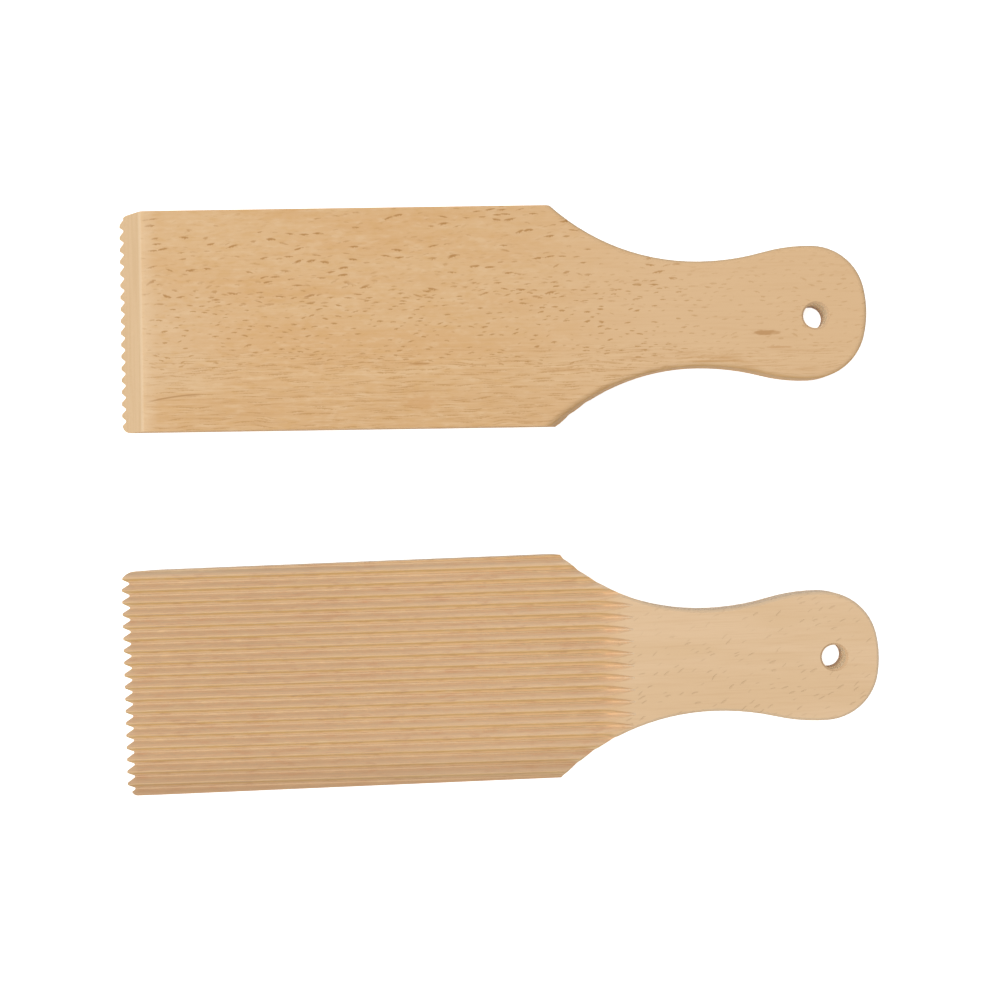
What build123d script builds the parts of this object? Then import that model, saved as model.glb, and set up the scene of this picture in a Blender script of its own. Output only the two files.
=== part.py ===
"""A pair of wooden gnocchi boards, lying side by side on a table.

Each board is one piece of beech: a flat paddle with a waisted handle, a hanging
hole in the handle's bulb, and a face with ridges that run along the head and out
over its bevelled end. One board lies with its ridges up, the other one with its
ridges down. They are sawn and drilled by hand, so they differ a little.
Millimetres, +Z up, the handles point along +X, and the origin is under the middle
of the pair, at the table.
"""

import os
from math import acos, ceil, cos, degrees, radians, sin, sqrt, tan

from build123d import *

# The blank that a board is cut from
length = 218.4
up_head_width = 64.7
down_head_width = 63.8
thickness = 9.0
end_corner_radius = 3.0

# Handle outline: a bulb, then a waist that flares out to the head's shoulders
up_bulb_width = 37.3
down_bulb_width = 38.6
bulb_from_end = 17.3
bulb_end_radius = 30.5
bulb_corner_radius = 15.8
up_neck_width = 29.4
down_neck_width = 30.4
neck_from_end = 48.4
waist_radius = 72.0

# The handle's edges are rounded over, more on the smooth face, each in fine bands
smooth_edge_round = 1.5
smooth_round_bands = 5
ridged_edge_round = 0.8
ridged_round_bands = 3

# Both shoulders lean: the left one reaches further out on the ridged face, the
# right one on the smooth face, as if sawn on a tilted table
left_flare_on_smooth = 66.0
left_flare_on_ridged = 60.0
right_flare_on_smooth = 63.0
right_flare_on_ridged = 66.5

# Bevelled end, with a thin blunt edge at the ridged face
bevel_land = 0.4
bevel_round = 3.0

# Grooves that leave the ridges standing, cut by a round cutter that lifts out.
# The first groove's middle starts on the left long edge.
ridge_pitch = 3.5
groove_depth = 2.0
crest_width = 0.3
root_width = 0.4
full_groove_length = 136.0
cutter_radius = 34.0
up_ridge_turn = -0.55
down_ridge_turn = 0.0

# Hanging hole, drilled by hand in a slightly different place on each board
hole_diameter = 7.0
hole_rim_chamfer = 0.6
up_hole_from_end = 13.1
up_hole_aside = -0.4
down_hole_from_end = 15.0
down_hole_aside = 1.2

# Where the middle of each handle's end lies, and the board's turn in degrees
up_handle_end_x = 111.12
up_handle_end_y = -44.39
up_turn = 2.3
down_handle_end_x = 107.66
down_handle_end_y = 54.83
down_turn = 0.85

# Cuts run this far past the wood
overrun = 2.0

# Places along a board, from its handle's end
bulb_x = -bulb_from_end
neck_x = -neck_from_end
head_end_x = -length


def handle_side(side, inset, head_width, bulb_width, neck_width, flare_radius):
    """Arcs from the middle of the handle's end to the head, then back around the waste."""
    half_bulb = bulb_width / 2 - inset
    half_neck = neck_width / 2 - inset
    end_radius = bulb_end_radius - inset
    corner_radius = bulb_corner_radius - inset
    waist_arc_radius = waist_radius + inset
    flare_arc_radius = flare_radius + inset

    # The bulb's side arc touches the waist arc on the line between their centres
    narrowing = half_bulb - half_neck
    waist_run = neck_from_end - bulb_from_end
    radii_sum = (waist_run**2 + narrowing**2) / (2 * narrowing)
    bulb_side_radius = radii_sum - waist_arc_radius
    bulb_centre = Vector(bulb_x, half_bulb - bulb_side_radius)
    waist_centre = Vector(neck_x, half_neck + waist_arc_radius)
    waist_join = bulb_centre + (waist_centre - bulb_centre) * (bulb_side_radius / radii_sum)

    # The corner arc lies inside the end arc and the bulb's side arc, and touches both
    end_centre = Vector(-bulb_end_radius, 0)
    from_end_centre = end_radius - corner_radius
    from_bulb_centre = bulb_side_radius - corner_radius
    between = bulb_centre - end_centre
    along = (from_end_centre**2 - from_bulb_centre**2 + between.length**2) / (2 * between.length)
    across = sqrt(from_end_centre**2 - along**2)
    unit = between.normalized()
    corner_centre = end_centre + unit * along + Vector(-unit.Y, unit.X) * across
    end_join = end_centre + (corner_centre - end_centre) * (end_radius / from_end_centre)
    side_join = bulb_centre + (corner_centre - bulb_centre) * (bulb_side_radius / from_bulb_centre)

    # Past the neck the side flares out, through the head's long edge
    flare_width = head_width / 2 + overrun - half_neck
    flare_run = sqrt(flare_arc_radius**2 - (flare_arc_radius - flare_width) ** 2)
    waste_edge_y = side * (head_width / 2 + overrun)
    waste_end_x = 2 * overrun

    end_middle = (-inset, 0)
    end_join = (end_join.X, side * end_join.Y)
    side_join = (side_join.X, side * side_join.Y)
    waist_join = (waist_join.X, side * waist_join.Y)
    neck = (neck_x, side * half_neck)
    flare_end = (neck_x - flare_run, waste_edge_y)
    RadiusArc(end_middle, end_join, -side * end_radius)
    RadiusArc(end_join, side_join, -side * corner_radius)
    RadiusArc(side_join, waist_join, -side * bulb_side_radius)
    RadiusArc(waist_join, neck, side * waist_arc_radius)
    RadiusArc(neck, flare_end, side * flare_arc_radius)
    Polyline(flare_end, (waste_end_x, waste_edge_y), (waste_end_x, 0))


def handle_waste(height, inset, head_width, bulb_width, neck_width):
    """The wood sawn away around the handle, at one height over the smooth face."""
    lean = height / thickness
    left_flare = left_flare_on_smooth + lean * (left_flare_on_ridged - left_flare_on_smooth)
    right_flare = right_flare_on_smooth + lean * (right_flare_on_ridged - right_flare_on_smooth)
    with BuildSketch() as waste:
        with BuildLine():
            handle_side(1, inset, head_width, bulb_width, neck_width, left_flare)
            handle_side(-1, inset, head_width, bulb_width, neck_width, right_flare)
        make_face()
    return waste.sketch


def rounded_levels():
    """Heights over the smooth face, and how far the handle's rounded edges draw in there."""
    levels = []
    for step in range(smooth_round_bands + 1):
        angle = radians(90 * step / smooth_round_bands)
        levels.append((smooth_edge_round * (1 - cos(angle)), smooth_edge_round * (1 - sin(angle))))
    for step in range(ridged_round_bands, -1, -1):
        angle = radians(90 * step / ridged_round_bands)
        height = thickness - ridged_edge_round * (1 - cos(angle))
        levels.append((height, ridged_edge_round * (1 - sin(angle))))
    return levels


def gnocchi_board(
    smooth_face, head_width, bulb_width, neck_width, ridge_turn, hole_from_end, hole_aside
):
    """One board on the plane of its smooth face, from its handle's end, ridges on +Z."""
    ridged_face = smooth_face.offset(thickness)
    lengthwise = Axis(smooth_face.origin, smooth_face.x_dir)
    upright = Axis(smooth_face.origin, smooth_face.z_dir)

    # The end, its bevel and the ridges are square to each other, from the end's middle
    head_end = ridged_face.from_local_coords((head_end_x, 0, 0))
    ridges = Plane(head_end, ridged_face.x_dir, ridged_face.z_dir).rotated((0, 0, ridge_turn))
    ridge_side = Plane(head_end, x_dir=ridges.x_dir, z_dir=-ridges.y_dir)
    across_ridges = Axis(head_end, ridges.y_dir)
    end_slant = head_width / 2 * tan(radians(ridge_turn))

    with BuildPart(smooth_face) as board:
        with BuildSketch(smooth_face):
            Polygon(
                (overrun, head_width / 2),
                (head_end_x - end_slant, head_width / 2),
                (head_end_x + end_slant, -head_width / 2),
                (overrun, -head_width / 2),
                align=None,
            )
        extrude(amount=thickness)

        # The handle is sawn out with its rounded edges and leaning shoulders
        for height, inset in rounded_levels():
            with BuildSketch(smooth_face.offset(height)):
                add(handle_waste(height, inset, head_width, bulb_width, neck_width))
        loft(ruled=True, mode=Mode.SUBTRACT)
        end_corners = board.edges().filter_by(upright).sort_by(lengthwise)[:2]
        fillet(end_corners, end_corner_radius)

        # The bevel runs from the ridged face to the smooth one, at 45 degrees
        with BuildSketch(ridge_side):
            Polygon(
                (-overrun, -bevel_land + overrun),
                (-overrun, -thickness - overrun),
                (thickness - bevel_land + overrun, -thickness - overrun),
                align=None,
            )
        extrude(amount=head_width, both=True, mode=Mode.SUBTRACT)
        bevel_edge = board.edges(Select.LAST).filter_by(across_ridges).sort_by(upright)[0]
        fillet(bevel_edge, bevel_round)

        # A row of grooves as wide as the head, with part of one at each long edge
        groove_count = ceil(head_width / ridge_pitch)
        groove_places = [(head_width / 2 - ridge_pitch * row, 0) for row in range(groove_count)]
        mouth_width = ridge_pitch - crest_width
        lift_point = ridges.from_local_coords((full_groove_length, 0, 0))
        with BuildSketch(Plane(lift_point, ridges.y_dir, ridges.x_dir)) as groove_row:
            with Locations(*groove_places):
                Polygon(
                    (-root_width / 2, -groove_depth),
                    (root_width / 2, -groove_depth),
                    (mouth_width / 2, 0),
                    (mouth_width / 2, overrun),
                    (-mouth_width / 2, overrun),
                    (-mouth_width / 2, 0),
                    align=None,
                )
        extrude(amount=-length, mode=Mode.SUBTRACT)

        # The cutter turns about its own axis out of the wood, where the ridges fade away
        cutter_height = cutter_radius - groove_depth
        cutter_centre = ridges.from_local_coords((full_groove_length, 0, cutter_height))
        leaving_angle = 2 * degrees(acos(cutter_height / cutter_radius))
        cutter_axis = Axis(cutter_centre, -ridges.y_dir)
        revolve(groove_row.sketch, cutter_axis, leaving_angle, mode=Mode.SUBTRACT)

        with Locations((-hole_from_end, hole_aside)):
            Hole(hole_diameter / 2)
        hole_rims = board.edges(Select.LAST).filter_by(GeomType.CIRCLE)
        chamfer(hole_rims, hole_rim_chamfer)
    return board


def lying_along(turn):
    """The way that a board's handle points when it is turned on the table."""
    return Vector(1, 0, 0).rotate(Axis.Z, turn)


os.makedirs("parts", exist_ok=True)

# Smooth face on the table, ridges up
up_plane = Plane((up_handle_end_x, up_handle_end_y, 0), lying_along(up_turn), (0, 0, 1))
board_ridges_up = gnocchi_board(
    up_plane,
    up_head_width,
    up_bulb_width,
    up_neck_width,
    up_ridge_turn,
    up_hole_from_end,
    up_hole_aside,
)
board_ridges_up.part.label = "board_ridges_up"
export_step(board_ridges_up.part, "parts/board_ridges_up.step")

# Turned over about its length: ridges on the table, smooth face up
down_handle_end = (down_handle_end_x, down_handle_end_y, thickness)
down_plane = Plane(down_handle_end, lying_along(down_turn), (0, 0, -1))
board_ridges_down = gnocchi_board(
    down_plane,
    down_head_width,
    down_bulb_width,
    down_neck_width,
    down_ridge_turn,
    down_hole_from_end,
    down_hole_aside,
)
board_ridges_down.part.label = "board_ridges_down"
export_step(board_ridges_down.part, "parts/board_ridges_down.step")
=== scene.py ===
"""Looks of a pair of beech gnocchi boards, lying side by side on a white table.

The camera looks straight down on the pair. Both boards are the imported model's own
solids, and each gets the look of its own piece of beech.
"""

import math

import bpy
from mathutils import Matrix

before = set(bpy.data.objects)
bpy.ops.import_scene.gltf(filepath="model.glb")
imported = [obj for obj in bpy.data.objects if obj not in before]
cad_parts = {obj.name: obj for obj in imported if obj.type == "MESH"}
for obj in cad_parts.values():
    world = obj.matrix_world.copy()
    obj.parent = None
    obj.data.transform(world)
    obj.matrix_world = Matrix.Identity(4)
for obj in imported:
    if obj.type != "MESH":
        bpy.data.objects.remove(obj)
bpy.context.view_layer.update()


# The board that lies with its ridges up: one piece of beech, sawn out, grooved lengthwise
# and sanded, and left without oil. Its handle is pale and nearly plain. Each ridge carries
# painted light: golden bounce light with a line of painted shade on one side, and a dull,
# pinkish painted sheen on the other.
def plug(tree, socket, source):
    """Links a socket to another node's output, or sets its value."""
    if isinstance(source, bpy.types.NodeSocket):
        tree.links.new(source, socket)
    else:
        socket.default_value = source


def add_node(tree, kind, **settings):
    """A new node of a kind, with its properties."""
    node = tree.nodes.new(kind)
    for name, value in settings.items():
        setattr(node, name, value)
    return node


def feed(tree, node, **sources):
    """A node with its named inputs set or linked."""
    for name, source in sources.items():
        plug(tree, node.inputs[name.replace("_", " ")], source)
    return node


def arithmetic(tree, operation, first, second=0.0, third=0.0, clamp=False):
    """The result of one sum on up to three numbers or outputs."""
    node = add_node(tree, "ShaderNodeMath", operation=operation, use_clamp=clamp)
    for socket, source in zip(node.inputs, (first, second, third)):
        plug(tree, socket, source)
    return node.outputs["Value"]


def vector_arithmetic(tree, operation, first, second=(0.0, 0.0, 0.0)):
    """The result of one sum on two vectors, which is a number for a length or a distance."""
    node = add_node(tree, "ShaderNodeVectorMath", operation=operation)
    plug(tree, node.inputs[0], first)
    plug(tree, node.inputs[1], second)
    return node.outputs["Value" if operation in ("LENGTH", "DISTANCE") else "Vector"]


def product(tree, *sources):
    """Some masks and numbers multiplied together."""
    result = sources[0]
    for source in sources[1:]:
        result = arithmetic(tree, "MULTIPLY", result, source)
    return result


def plus(tree, value, added, times):
    """A value with some times another one added."""
    return arithmetic(tree, "MULTIPLY_ADD", added, times, value)


def minus(tree, value, taken):
    """A value with another one taken off."""
    return arithmetic(tree, "SUBTRACT", value, taken)


def ramp(tree, value, low, high, to_low=0.0, to_high=1.0):
    """A smooth step of a value from one number to another, between two limits."""
    node = add_node(tree, "ShaderNodeMapRange", interpolation_type="SMOOTHSTEP")
    feed(tree, node, Value=value, From_Min=low, From_Max=high, To_Min=to_low, To_Max=to_high)
    return node.outputs["Result"]


def band(tree, value, start, full, fading, end):
    """A mask of the values from start to end, whole between full and fading."""
    return product(tree, ramp(tree, value, start, full), ramp(tree, value, end, fading))


def mixed(tree, share, first, second):
    """One colour mixed into another by a share."""
    node = add_node(tree, "ShaderNodeMix", data_type="RGBA")
    sockets = {socket.identifier: socket for socket in (*node.inputs, *node.outputs)}
    plug(tree, sockets["Factor_Float"], share)
    plug(tree, sockets["A_Color"], first)
    plug(tree, sockets["B_Color"], second)
    return sockets["Result_Color"]


def painted(tree, base, tint, *masks, share=1.0):
    """A colour with a tint laid over it where all the masks are, by at most a share."""
    return mixed(tree, product(tree, share, *masks), base, tint)


def two_toned(tree, tone, pale, warm):
    """The wood's pale and warm colours, which change over its broad streaks."""
    return mixed(tree, ramp(tree, tone, 0.38, 0.62), pale, warm)


def joined(tree, x, y, z=0.0):
    """A vector made of three numbers or outputs."""
    return feed(tree, add_node(tree, "ShaderNodeCombineXYZ"), X=x, Y=y, Z=z).outputs["Vector"]


def parts_of(tree, vector):
    """The three outputs of a vector."""
    split = feed(tree, add_node(tree, "ShaderNodeSeparateXYZ"), Vector=vector)
    return split.outputs["X"], split.outputs["Y"], split.outputs["Z"]


def colour(red, green, blue):
    """A colour as a screen shows it, 0 to 255, turned into the linear values of a shader."""
    shares = [c / 255 for c in (red, green, blue)]
    return tuple(c / 12.92 if c <= 0.04045 else ((c + 0.055) / 1.055) ** 2.4 for c in shares) + (1.0,)


number_socket = "NodeSocketFloat"
vector_socket = "NodeSocketVector"
colour_socket = "NodeSocketColor"


def new_group(name, inputs, result_name, result_kind):
    """A shader node group with one result: its tree, what it is given, and its result's socket."""
    group = bpy.data.node_groups.new(name, "ShaderNodeTree")
    for label, kind, usual_value in inputs:
        socket = group.interface.new_socket(label, in_out="INPUT", socket_type=kind)
        if usual_value is not None:
            socket.default_value = usual_value
    group.interface.new_socket(result_name, in_out="OUTPUT", socket_type=result_kind)
    given = add_node(group, "NodeGroupInput").outputs
    result = add_node(group, "NodeGroupOutput").inputs[result_name]
    return group, given, result


def placed(tree, group, **values):
    """The result of a node group that is placed in a material with its own values."""
    return feed(tree, add_node(tree, "ShaderNodeGroup", node_tree=group), **values).outputs[0]


def make_grain_streaks():
    """Long thin streaks along the wood, from its pores and growth rings."""
    group, given, result = new_group(
        "Grain streaks",
        [
            ("Coordinates", vector_socket, None),
            ("Length", number_socket, 30.0),
            ("Width", number_socket, 0.7),
            ("Seed", number_socket, 0.0),
            ("Detail", number_socket, 2.0),
        ],
        "Value",
        number_socket,
    )
    x, y, z = parts_of(group, given["Coordinates"])
    stretched = joined(
        group,
        arithmetic(group, "DIVIDE", x, given["Length"]),
        arithmetic(group, "DIVIDE", y, given["Width"]),
        arithmetic(group, "DIVIDE", z, given["Width"]),
    )
    noise = add_node(group, "ShaderNodeTexNoise", noise_dimensions="4D")
    feed(group, noise, Vector=stretched, W=given["Seed"], Scale=1.0, Detail=given["Detail"], Roughness=0.6)
    plug(group, result, noise.outputs["Fac"])
    return group


def make_ray_flecks():
    """The short dark dashes that beech shows, where the wood's rays meet the surface."""
    group, given, result = new_group(
        "Ray flecks",
        [
            ("Coordinates", vector_socket, None),
            ("Length", number_socket, 3.4),
            ("Width", number_socket, 0.7),
            ("Column", number_socket, 8.5),
            ("Row", number_socket, 2.0),
            ("Shear", number_socket, 0.22),
            ("Share", number_socket, 0.7),
            ("Lean", number_socket, 0.04),
            ("Tilt", number_socket, 0.3),
            ("Waver", number_socket, 4.0),
            ("Seed", number_socket, 0.0),
        ],
        "Mask",
        number_socket,
    )

    # The pattern on the face goes on down the sides, and its rows waver as the grain does
    bends_along = 0.06
    bends_across = 0.1
    raggedness = 0.35
    seed_step = 7.3
    x, y, z = parts_of(group, given["Coordinates"])
    near = joined(group, product(group, x, bends_along), product(group, y, bends_across), given["Seed"])
    bend = feed(group, add_node(group, "ShaderNodeTexNoise"), Vector=near, Scale=1.0, Detail=1.0)
    ragged = add_node(group, "ShaderNodeTexNoise")
    feed(group, ragged, Vector=given["Coordinates"], Scale=1.8, Detail=2.0)
    across = arithmetic(group, "ADD", y, z)
    across = plus(group, across, bend.outputs["Fac"], given["Waver"])
    across = plus(group, across, ragged.outputs["Fac"], raggedness)
    row = arithmetic(group, "DIVIDE", across, given["Row"])
    column = arithmetic(group, "DIVIDE", x, given["Column"])
    column = plus(group, column, row, given["Shear"])
    column = plus(group, column, given["Seed"], seed_step)
    spots = add_node(group, "ShaderNodeTexVoronoi", voronoi_dimensions="2D")
    feed(group, spots, Vector=joined(group, column, row), Scale=1.0, Randomness=0.75)
    middle_column, middle_row = parts_of(group, spots.outputs["Position"])[:2]
    chance = add_node(group, "ShaderNodeSeparateColor")
    feed(group, chance, Color=spots.outputs["Color"])

    # From the dash's middle, in millimetres along and across it, with a tilt of its own
    rows_off = minus(group, row, middle_row)
    columns_off = minus(group, column, middle_column)
    columns_off = minus(group, columns_off, product(group, rows_off, given["Shear"]))
    along_it = product(group, columns_off, given["Column"])
    across_it = product(group, rows_off, given["Row"])
    turn = plus(group, given["Lean"], minus(group, chance.outputs["Blue"], 0.5), given["Tilt"])
    across_it = minus(group, across_it, product(group, along_it, turn))

    # A spindle with pointed ends. Each has its own size, and some places have none.
    size = ramp(group, chance.outputs["Green"], 0.0, 1.0, 0.55, 1.15)
    half_length = product(group, given["Length"], size, 0.5)
    half_width = product(group, given["Width"], size, 0.5)
    reach = arithmetic(group, "DIVIDE", along_it, half_length)
    belly = minus(group, 1.0, product(group, reach, reach))
    inside = minus(group, product(group, belly, half_width), arithmetic(group, "ABSOLUTE", across_it))
    inside = arithmetic(group, "DIVIDE", inside, half_width)
    inside = plus(group, inside, ragged.outputs["Fac"], 2.0)
    mask = ramp(group, inside, 0.7, 1.7)
    there = arithmetic(group, "LESS_THAN", chance.outputs["Red"], given["Share"])
    strength = ramp(group, chance.outputs["Green"], 0.0, 0.7, 0.35, 1.0)
    plug(group, result, product(group, mask, there, strength))
    return group


def make_painted_rim_shade():
    """Painted shade on the sawn and sanded rims, greyer on the side that faces away and golden on the near
    side.
    """
    group, given, result = new_group(
        "Painted rim shade",
        [
            ("Wood", colour_socket, None),
            ("Normal", vector_socket, None),
            ("Start", number_socket, 0.9),
            ("Far Side", colour_socket, None),
            ("Near Side", colour_socket, None),
        ],
        "Color",
        colour_socket,
    )
    normal_y, normal_z = parts_of(group, given["Normal"])[1:]
    rim = ramp(group, minus(group, normal_z, given["Start"]), 0.0, -0.35)
    tint = mixed(group, ramp(group, normal_y, 0.15, -0.35), given["Far Side"], given["Near Side"])
    plug(group, result, painted(group, given["Wood"], tint, rim, share=0.9))
    return group


def make_hanging_hole():
    """The hanging hole's wall: pale where light falls in from above, dark further down."""
    group, given, result = new_group(
        "Hanging hole",
        [
            ("Wood", colour_socket, None),
            ("Coordinates", vector_socket, None),
            ("Normal", vector_socket, None),
            ("Middle", vector_socket, None),
        ],
        "Color",
        colour_socket,
    )
    wall_reach = 4.5
    soft_edge = 0.3
    dark_below = 1.0
    lit_above = 5.5
    rim_bottom = 8.2
    rim_top = 8.5
    x, y, z = parts_of(group, given["Coordinates"])
    normal_z = parts_of(group, given["Normal"])[2]
    from_middle = vector_arithmetic(group, "DISTANCE", joined(group, x, y), given["Middle"])
    within = ramp(group, from_middle, wall_reach + soft_edge, wall_reach)
    steep = ramp(group, normal_z, 0.97, 0.9)
    lit = ramp(group, z, dark_below, lit_above)
    shade = mixed(group, lit, colour(190, 150, 110), colour(253, 230, 192))
    shade = mixed(group, ramp(group, z, rim_bottom, rim_top), shade, colour(219, 184, 144))
    plug(group, result, painted(group, given["Wood"], shade, within, steep))
    return group


ray_flecks = make_ray_flecks()
grain_streaks = make_grain_streaks()
painted_rim_shade = make_painted_rim_shade()
hanging_hole = make_hanging_hole()
mm = 0.001
board_length = 218.4


def emptied_tree(owner):
    """The node tree of a material or a world, without its nodes."""
    owner.use_nodes = True
    owner.node_tree.nodes.clear()
    return owner.node_tree


def start_board(name, handle_end, turn):
    """A board's material, and a place's coordinates on it in millimetres, from its middle at
    the table: x along it to the handle, y across it and z up."""
    material = bpy.data.materials.new(name)
    tree = emptied_tree(material)
    angle = math.radians(turn)
    middle_x = handle_end[0] - board_length / 2 * math.cos(angle)
    middle_y = handle_end[1] - board_length / 2 * math.sin(angle)
    metres = add_node(tree, "ShaderNodeTexCoord")
    along_board = add_node(tree, "ShaderNodeMapping", vector_type="TEXTURE")
    feed(tree, along_board, Vector=metres.outputs["Object"], Location=(middle_x * mm, middle_y * mm, 0.0),
         Rotation=(0.0, 0.0, angle), Scale=(mm, mm, mm))
    return material, tree, along_board.outputs["Vector"], metres.outputs["Normal"]


def finish_board(node_name, material, base, height):
    """Gives a board its wood: the colour, a dull gloss and a grain that can be felt."""
    tree = material.node_tree
    bump = feed(tree, add_node(tree, "ShaderNodeBump"), Height=height, Strength=0.5, Distance=0.2 * mm)
    surface = add_node(tree, "ShaderNodeBsdfPrincipled")
    feed(tree, surface, Base_Color=base, Normal=bump.outputs["Normal"], Roughness=0.62,
         Specular_IOR_Level=0.2)
    feed(tree, add_node(tree, "ShaderNodeOutputMaterial"), Surface=surface.outputs["BSDF"])
    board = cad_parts[node_name]
    for slot in board.material_slots:
        slot.material = material
    for polygon in board.data.polygons:
        polygon.material_index = 0


def streaks_of(tree, place, **values):
    """Grain streaks of one size, as values around a half."""
    return placed(tree, grain_streaks, Coordinates=place, **values)


def flecks_of(tree, place, **values):
    """Ray flecks of one size, as a mask."""
    return placed(tree, ray_flecks, Coordinates=place, **values)


up_handle_end = (111.12, -44.39)
up_turn = 2.3
up_hole = (board_length / 2 - 13.1, -0.4, 0.0)
up_material, tree, place, normal = start_board("beech, ridges up", up_handle_end, up_turn)
x, y, z = parts_of(tree, place)
normal_y, normal_z = parts_of(tree, normal)[1:]
tone = streaks_of(tree, place, Length=45.0, Width=7.0, Seed=3.1, Detail=2.0)
fibre = streaks_of(tree, place, Length=14.0, Width=0.5, Seed=8.4, Detail=3.0)
mottle = streaks_of(tree, place, Length=5.0, Width=1.6, Seed=6.2, Detail=3.0)
handle_wood = two_toned(tree, tone, colour(229, 196, 157), colour(225, 191, 150))
ridge_wood = two_toned(tree, tone, colour(226, 187, 141), colour(221, 181, 133))

# The side of each ridge that faces away gets a painted sheen, dull and pinkish, and towards
# the handle it is paler near the crest. The colours' borders waver with the wood's mottle.
crest = 9.0
groove_floor = 7.0
waver = 1.2
open_above = ramp(tree, normal_z, 0.3, 0.5)
towards_handle = ramp(tree, x, -80.0, 25.0)
wavering_z = plus(tree, z, minus(tree, mottle, 0.5), waver)
painted_sheen_side = product(tree, ramp(tree, normal_y, 0.2, 0.7), open_above)
painted_sheen_high = mixed(tree, towards_handle, colour(224, 189, 152), colour(236, 206, 170))
painted_sheen_low = mixed(tree, towards_handle, colour(209, 179, 145), colour(218, 189, 156))
near_crest = ramp(tree, wavering_z, crest - 1.1, crest - 0.5)
ridge_wood = painted(tree, ridge_wood, mixed(tree, near_crest, painted_sheen_low, painted_sheen_high), painted_sheen_side)

# The other side is painted golden, as bounce light from the facing ridge, with a browner
# line of painted shade that lies nearer to the crest towards the handle
line_climb = 0.3
painted_bounce_side = product(tree, ramp(tree, normal_y, -0.2, -0.7), open_above)
line_z = plus(tree, wavering_z, towards_handle, -line_climb)
painted_shade_line = band(tree, line_z, crest - 1.4, crest - 0.8, crest - 0.4, crest - 0.05)
painted_bounce_low = mixed(tree, towards_handle, colour(243, 213, 171), colour(248, 213, 163))
painted_bounce_and_shade = mixed(tree, painted_shade_line, painted_bounce_low, colour(231, 191, 129))
ridge_wood = painted(tree, ridge_wood, painted_bounce_and_shade, painted_bounce_side)

# The grooves' floors are darker, more so near the handle. Brown and pale spots mottle
# the whole, and it is darker again along the near edge.
floor_colour = mixed(tree, ramp(tree, x, -20.0, 20.0), colour(211, 181, 144), colour(201, 171, 132))
on_floor = ramp(tree, z, groove_floor + 0.3, groove_floor + 0.1)
brown_spots = ramp(tree, mottle, 0.5, 0.7)
pale_spots = ramp(tree, mottle, 0.46, 0.28)
near_edge = ramp(tree, y, -20.0, -31.0)
ridge_wood = painted(tree, ridge_wood, floor_colour, on_floor, open_above)
ridge_wood = painted(tree, ridge_wood, colour(203, 158, 122), brown_spots, share=0.45)
ridge_wood = painted(tree, ridge_wood, colour(230, 202, 160), pale_spots, share=0.45)
ridge_wood = painted(tree, ridge_wood, colour(190, 155, 120), near_edge, share=0.35)

# Where the cutter lifted out of the wood the grooves end in pale tongues
head_end = 27.0
handle_start = 38.0
base = mixed(tree, ramp(tree, x, handle_start, head_end), handle_wood, ridge_wood)
tongues = band(tree, normal_z, 0.75, 0.85, 0.95, 0.99)
base = painted(tree, base, colour(213, 187, 155), tongues)

# Painted shade on the rims of the handle, then the growth rings on the sawn walls and the fine grain
rim_start = ramp(tree, x, handle_start - 1.0, handle_start + 4.0, 0.35, 0.9)
base = placed(tree, painted_rim_shade, Wood=base, Normal=normal, Start=rim_start,
              Far_Side=colour(214, 192, 164), Near_Side=colour(220, 190, 150))
rings = streaks_of(tree, place, Length=50.0, Width=1.7, Seed=2.7, Detail=2.0)
walls = ramp(tree, normal_z, 0.4, 0.1)
base = painted(tree, base, colour(203, 163, 117), ramp(tree, rings, 0.42, 0.62), walls, share=0.4)
base = painted(tree, base, colour(206, 166, 122), ramp(tree, fibre, 0.45, 0.75), share=0.25)

# Small faint flecks, which show on the handle alone and lie a little deeper than the wood
small = flecks_of(tree, place, Length=1.9, Width=0.42, Column=3.9, Row=1.5, Share=0.45, Lean=0.5,
                  Tilt=0.5, Waver=7.0, Seed=5.0)
off_head = ramp(tree, x, head_end + 3.0, handle_start - 2.0)
dents = product(tree, small, off_head, ramp(tree, tone, 0.35, 0.6, 0.3, 1.0))
base = painted(tree, base, colour(203, 166, 124), dents, share=0.35)
height = plus(tree, fibre, dents, -1.5)
base = placed(tree, hanging_hole, Wood=base, Coordinates=place, Normal=normal, Middle=up_hole)
finish_board("board_ridges_up", up_material, base, height)


# The board that lies with its ridges down, so that its smooth face shows. It is a second
# piece of beech from the same bench, with larger ray flecks towards its far edge, long
# grain streaks along its near edge, and a brown mark in its handle.
def mark_of(tree, place, middle, length, width):
    """One mark in the wood, a long patch with uneven edges."""
    grain = streaks_of(tree, place, Length=2.5, Width=0.6, Seed=9.0, Detail=2.0)
    from_middle = vector_arithmetic(tree, "SUBTRACT", place, middle + (0.0,))
    reaches = vector_arithmetic(tree, "MULTIPLY", from_middle, (2 / length, 2 / width, 0.0))
    uneven = plus(tree, vector_arithmetic(tree, "LENGTH", reaches), grain, 1.8)
    return ramp(tree, uneven, 2.1, 1.4)


down_handle_end = (107.66, 54.83)
down_turn = 0.85
down_hole = (board_length / 2 - 15.0, -1.2, 0.0)
down_material, tree, place, normal = start_board("beech, ridges down", down_handle_end, down_turn)
x, y, z = parts_of(tree, place)
normal_y, normal_z = parts_of(tree, normal)[1:]
tone = streaks_of(tree, place, Length=60.0, Width=9.0, Seed=1.3, Detail=2.0)
fibre = streaks_of(tree, place, Length=16.0, Width=0.6, Seed=4.4, Detail=3.0)
cloud = streaks_of(tree, place, Length=4.0, Width=1.3, Seed=6.6, Detail=2.0)
base = two_toned(tree, tone, colour(221, 182, 134), colour(218, 175, 124))

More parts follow.
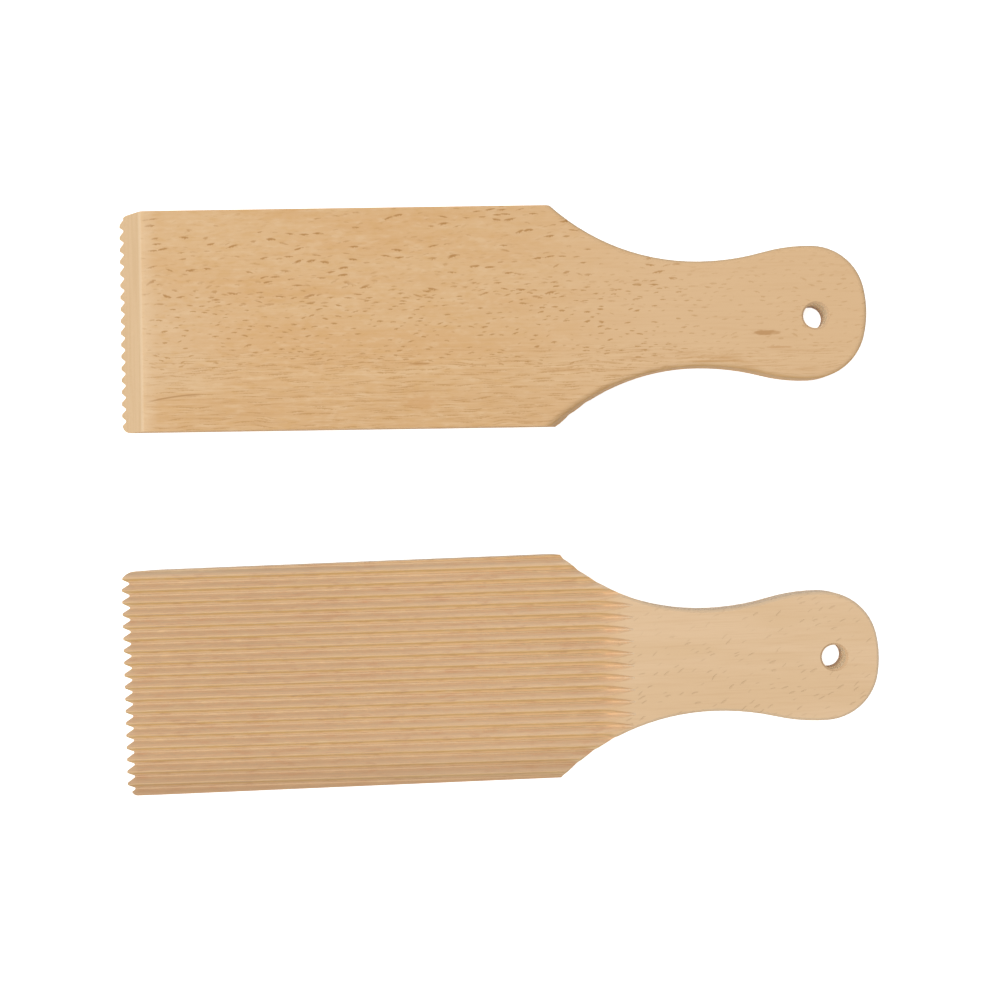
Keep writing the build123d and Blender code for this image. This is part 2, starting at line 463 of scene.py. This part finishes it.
# It is darker along its near edge, paler towards its bevel, and lightly clouded
bevel_edge = -101.0
dark_edge = ramp(tree, y, -16.0, -24.0)
pale_end = product(tree, ramp(tree, x, -60.0, bevel_edge + 1.0), band(tree, y, -24.0, -16.0, 2.0, 16.0))
base = painted(tree, base, colour(211, 166, 114), dark_edge, share=0.4)
base = painted(tree, base, colour(227, 198, 161), pale_end, share=0.35)
base = painted(tree, base, colour(212, 166, 105), ramp(tree, cloud, 0.5, 0.7), share=0.4)
base = painted(tree, base, colour(229, 196, 154), ramp(tree, cloud, 0.5, 0.3), share=0.4)

# The handle is a little paler, its rims get painted shade, greyer on the far side and golden on the near
# side, and the near edge is a little more streaked
base = painted(tree, base, colour(223, 186, 142), ramp(tree, x, -15.0, 60.0))
base = placed(tree, painted_rim_shade, Wood=base, Normal=normal, Start=0.9,
              Far_Side=colour(200, 172, 134), Near_Side=colour(221, 176, 118))
streaked = ramp(tree, y, -6.0, -14.0, 0.18, 0.58)
base = painted(tree, base, colour(200, 154, 102), ramp(tree, fibre, 0.5, 0.75), streaked)
base = painted(tree, base, colour(232, 198, 154), ramp(tree, fibre, 0.5, 0.25), streaked)

# The ridges underneath get the same painted light: a dull, pinkish sheen on one side and golden bounce
# light on the other
underneath = product(tree, ramp(tree, normal_z, -0.3, -0.5), ramp(tree, x, handle_start, head_end))
painted_flank_light = mixed(tree, ramp(tree, normal_y, 0.3, -0.3), colour(215, 180, 142), colour(232, 196, 146))
base = painted(tree, base, painted_flank_light, underneath, share=0.8)

# Large flecks towards the far edge, smaller and closer ones along the middle, and long
# thin ones towards the near edge. They thin out on the handle and stop at the bevel.
large = flecks_of(tree, place, Length=3.2, Width=0.62, Column=3.9, Row=2.1, Shear=0.37, Share=0.75,
                  Waver=6.0, Seed=2.0)
close = flecks_of(tree, place, Length=2.0, Width=0.42, Column=3.6, Row=1.05, Shear=-0.3, Share=0.6,
                  Waver=6.0, Seed=7.0)
thin = flecks_of(tree, place, Length=7.0, Width=0.32, Column=7.5, Row=0.6, Shear=0.13, Share=0.8,
                 Lean=0.01, Tilt=0.05, Waver=4.0, Seed=4.0)
chains = ramp(tree, streaks_of(tree, place, Length=13.0, Width=4.0, Seed=5.7, Detail=1.0), 0.4, 0.5)
far = product(tree, ramp(tree, y, 0.0, 8.0), ramp(tree, normal_z, 0.1, 0.6, 0.5, 1.0))
middle = band(tree, y, -20.0, -10.0, 4.0, 14.0)
near = ramp(tree, y, -6.0, -14.0)
off_bevel = ramp(tree, x, bevel_edge - 0.5, bevel_edge + 1.5)
thinning_start = 44.0
thinning_end = 66.0
on_head = ramp(tree, x, thinning_end, thinning_start)
plainer = ramp(tree, x, thinning_end, thinning_start, 0.4, 1.0)
base = painted(tree, base, colour(183, 134, 78), large, chains, far, on_head, off_bevel, share=0.95)
base = painted(tree, base, colour(185, 137, 80), close, middle, off_bevel, plainer, share=0.85)
base = painted(tree, base, colour(184, 136, 78), close, far, off_bevel, share=0.2)
base = painted(tree, base, colour(186, 138, 80), thin, near, off_bevel, plainer, share=0.6)

# Marks of this board's own wood: a brown spot and a streak in the handle, and a golden
# patch, a dash and some streaks along its near edge
spot = mark_of(tree, place, (79.6, -5.9), length=8.6, width=1.7)
streak = mark_of(tree, place, (83.5, -10.2), length=7.5, width=0.9)
golden_patch = mark_of(tree, place, (-20.0, -24.6), length=11.0, width=4.5)
dash = mark_of(tree, place, (-20.5, -13.4), length=6.6, width=0.7)
edge_streaks = mark_of(tree, place, (68.0, -13.2), length=26.0, width=3.0)
base = painted(tree, base, colour(182, 132, 78), spot, share=0.7)
base = painted(tree, base, colour(196, 146, 94), streak, share=0.5)
base = painted(tree, base, colour(206, 152, 92), golden_patch, share=0.35)
base = painted(tree, base, colour(186, 136, 80), dash, share=0.8)
base = painted(tree, base, colour(198, 150, 94), edge_streaks, ramp(tree, fibre, 0.4, 0.6), share=0.6)

# A dark growth line that bends down towards the bevel
bend_start = -83.0
bend_length = 19.0
bend_depth = 2.7
straight_y = -21.4
along_bend = arithmetic(tree, "DIVIDE", minus(tree, x, bend_start), bend_length)
line_y = plus(tree, straight_y, product(tree, along_bend, along_bend), -bend_depth)
off_line = arithmetic(tree, "ABSOLUTE", minus(tree, y, line_y))
on_bend = band(tree, x, bevel_edge, bevel_edge + 4.0, bend_start - 3.0, bend_start + 1.0)
base = painted(tree, base, colour(184, 138, 88), ramp(tree, off_line, 0.35, 0.1), on_bend, share=0.8)

# The bevel was sanded across, which left it greyer and paler with faint cross lines, and
# the face is paler too along the bevel's edge. A painted highlight lies on the rounded edge
# where the bevel meets the face.
cross_lines = streaks_of(tree, joined(tree, y, x), Length=30.0, Width=0.8, Seed=2.2, Detail=1.0)
sanded = mixed(tree, ramp(tree, cross_lines, 0.4, 0.65), colour(221, 188, 146), colour(217, 183, 140))
on_top = ramp(tree, normal_z, 0.4, 0.6)
on_bevel = ramp(tree, x, bevel_edge + 0.4, bevel_edge - 0.4)
pale_edge = band(tree, x, bevel_edge - 0.2, bevel_edge + 0.4, bevel_edge + 1.0, bevel_edge + 5.5)
painted_highlight = band(tree, x, bevel_edge - 0.7, bevel_edge - 0.2, bevel_edge + 0.1, bevel_edge + 0.8)
base = painted(tree, base, sanded, on_bevel, on_top)
base = painted(tree, base, colour(232, 200, 160), pale_edge, on_top, share=0.5)
base = painted(tree, base, colour(246, 224, 192), painted_highlight, on_top, share=0.3)
base = placed(tree, hanging_hole, Wood=base, Coordinates=place, Normal=normal, Middle=down_hole)
finish_board("board_ridges_down", down_material, base, fibre)


# The table: a white sheet that runs on past the picture. The camera sees it as plain
# white, and it keeps the boards' soft shadow.
table_half = 1.5
sheet_drop = 0.2 * mm
corner_shares = ((-1, -1), (1, -1), (1, 1), (-1, 1))
table_mesh = bpy.data.meshes.new("table_top")
table_mesh.from_pydata(
    [(table_half * across, table_half * away, -sheet_drop) for across, away in corner_shares],
    [],
    [(0, 1, 2, 3)],
)
table_top = bpy.data.objects.new("table_top", table_mesh)
bpy.context.scene.collection.objects.link(table_top)
sheet_material = bpy.data.materials.new("white sheet")
tree = emptied_tree(sheet_material)
rays = add_node(tree, "ShaderNodeLightPath").outputs
seen = arithmetic(tree, "ADD", rays["Is Camera Ray"], rays["Is Glossy Ray"])
seen = arithmetic(tree, "ADD", seen, rays["Is Transmission Ray"], clamp=True)
paper = feed(tree, add_node(tree, "ShaderNodeBsdfDiffuse"), Color=colour(236, 236, 236))
glow = feed(tree, add_node(tree, "ShaderNodeEmission"), Strength=product(tree, seen, 0.75))
both = add_node(tree, "ShaderNodeAddShader")
plug(tree, both.inputs[0], paper.outputs["BSDF"])
plug(tree, both.inputs[1], glow.outputs["Emission"])
feed(tree, add_node(tree, "ShaderNodeOutputMaterial"), Surface=both.outputs["Shader"])
table_mesh.materials.append(sheet_material)


# Studio light: one large soft lamp overhead, more above the heads than the handles and
# aimed at the middle of the pair, and an even white room around it.
key_lamp = bpy.data.lights.new("key_lamp", "AREA")
key_lamp.shape = "SQUARE"
key_lamp.size = 1.8
key_lamp.energy = 43.0
lamp_holder = bpy.data.objects.new("key_lamp", key_lamp)
bpy.context.scene.collection.objects.link(lamp_holder)
lamp_holder.location = (-0.76, 0.2, 2.2)
lamp_holder.rotation_euler = lamp_holder.location.to_track_quat("Z", "Y").to_euler()

room_light = 0.35
room_white = 1.0
world = bpy.data.worlds.new("white room")
tree = emptied_tree(world)
rays = add_node(tree, "ShaderNodeLightPath").outputs
seen = arithmetic(tree, "MAXIMUM", rays["Is Camera Ray"], rays["Is Transmission Ray"])
room = add_node(tree, "ShaderNodeBackground")
feed(tree, room, Color=colour(255, 255, 255), Strength=ramp(tree, seen, 0.0, 1.0, room_light, room_white))
feed(tree, add_node(tree, "ShaderNodeOutputWorld"), Surface=room.outputs["Background"])
bpy.context.scene.world = world


# The camera hangs straight above the pair, as the photograph's did. Its lens takes in the
# photograph's width at the height of the boards' upper faces.
camera_x = 0.00156
camera_y = -0.00006
camera_height = 0.384
face_height = 0.009
seen_half_width = 0.14465
camera = bpy.data.cameras.new("camera")
camera.sensor_width = 36.0
camera.lens = camera.sensor_width / 2 * (camera_height - face_height) / seen_half_width
camera.clip_start = 0.01
camera.clip_end = 10.0
camera_holder = bpy.data.objects.new("camera", camera)
bpy.context.scene.collection.objects.link(camera_holder)
camera_holder.location = (camera_x, camera_y, camera_height)
bpy.context.scene.camera = camera_holder
bpy.context.scene.view_settings.view_transform = "Standard"
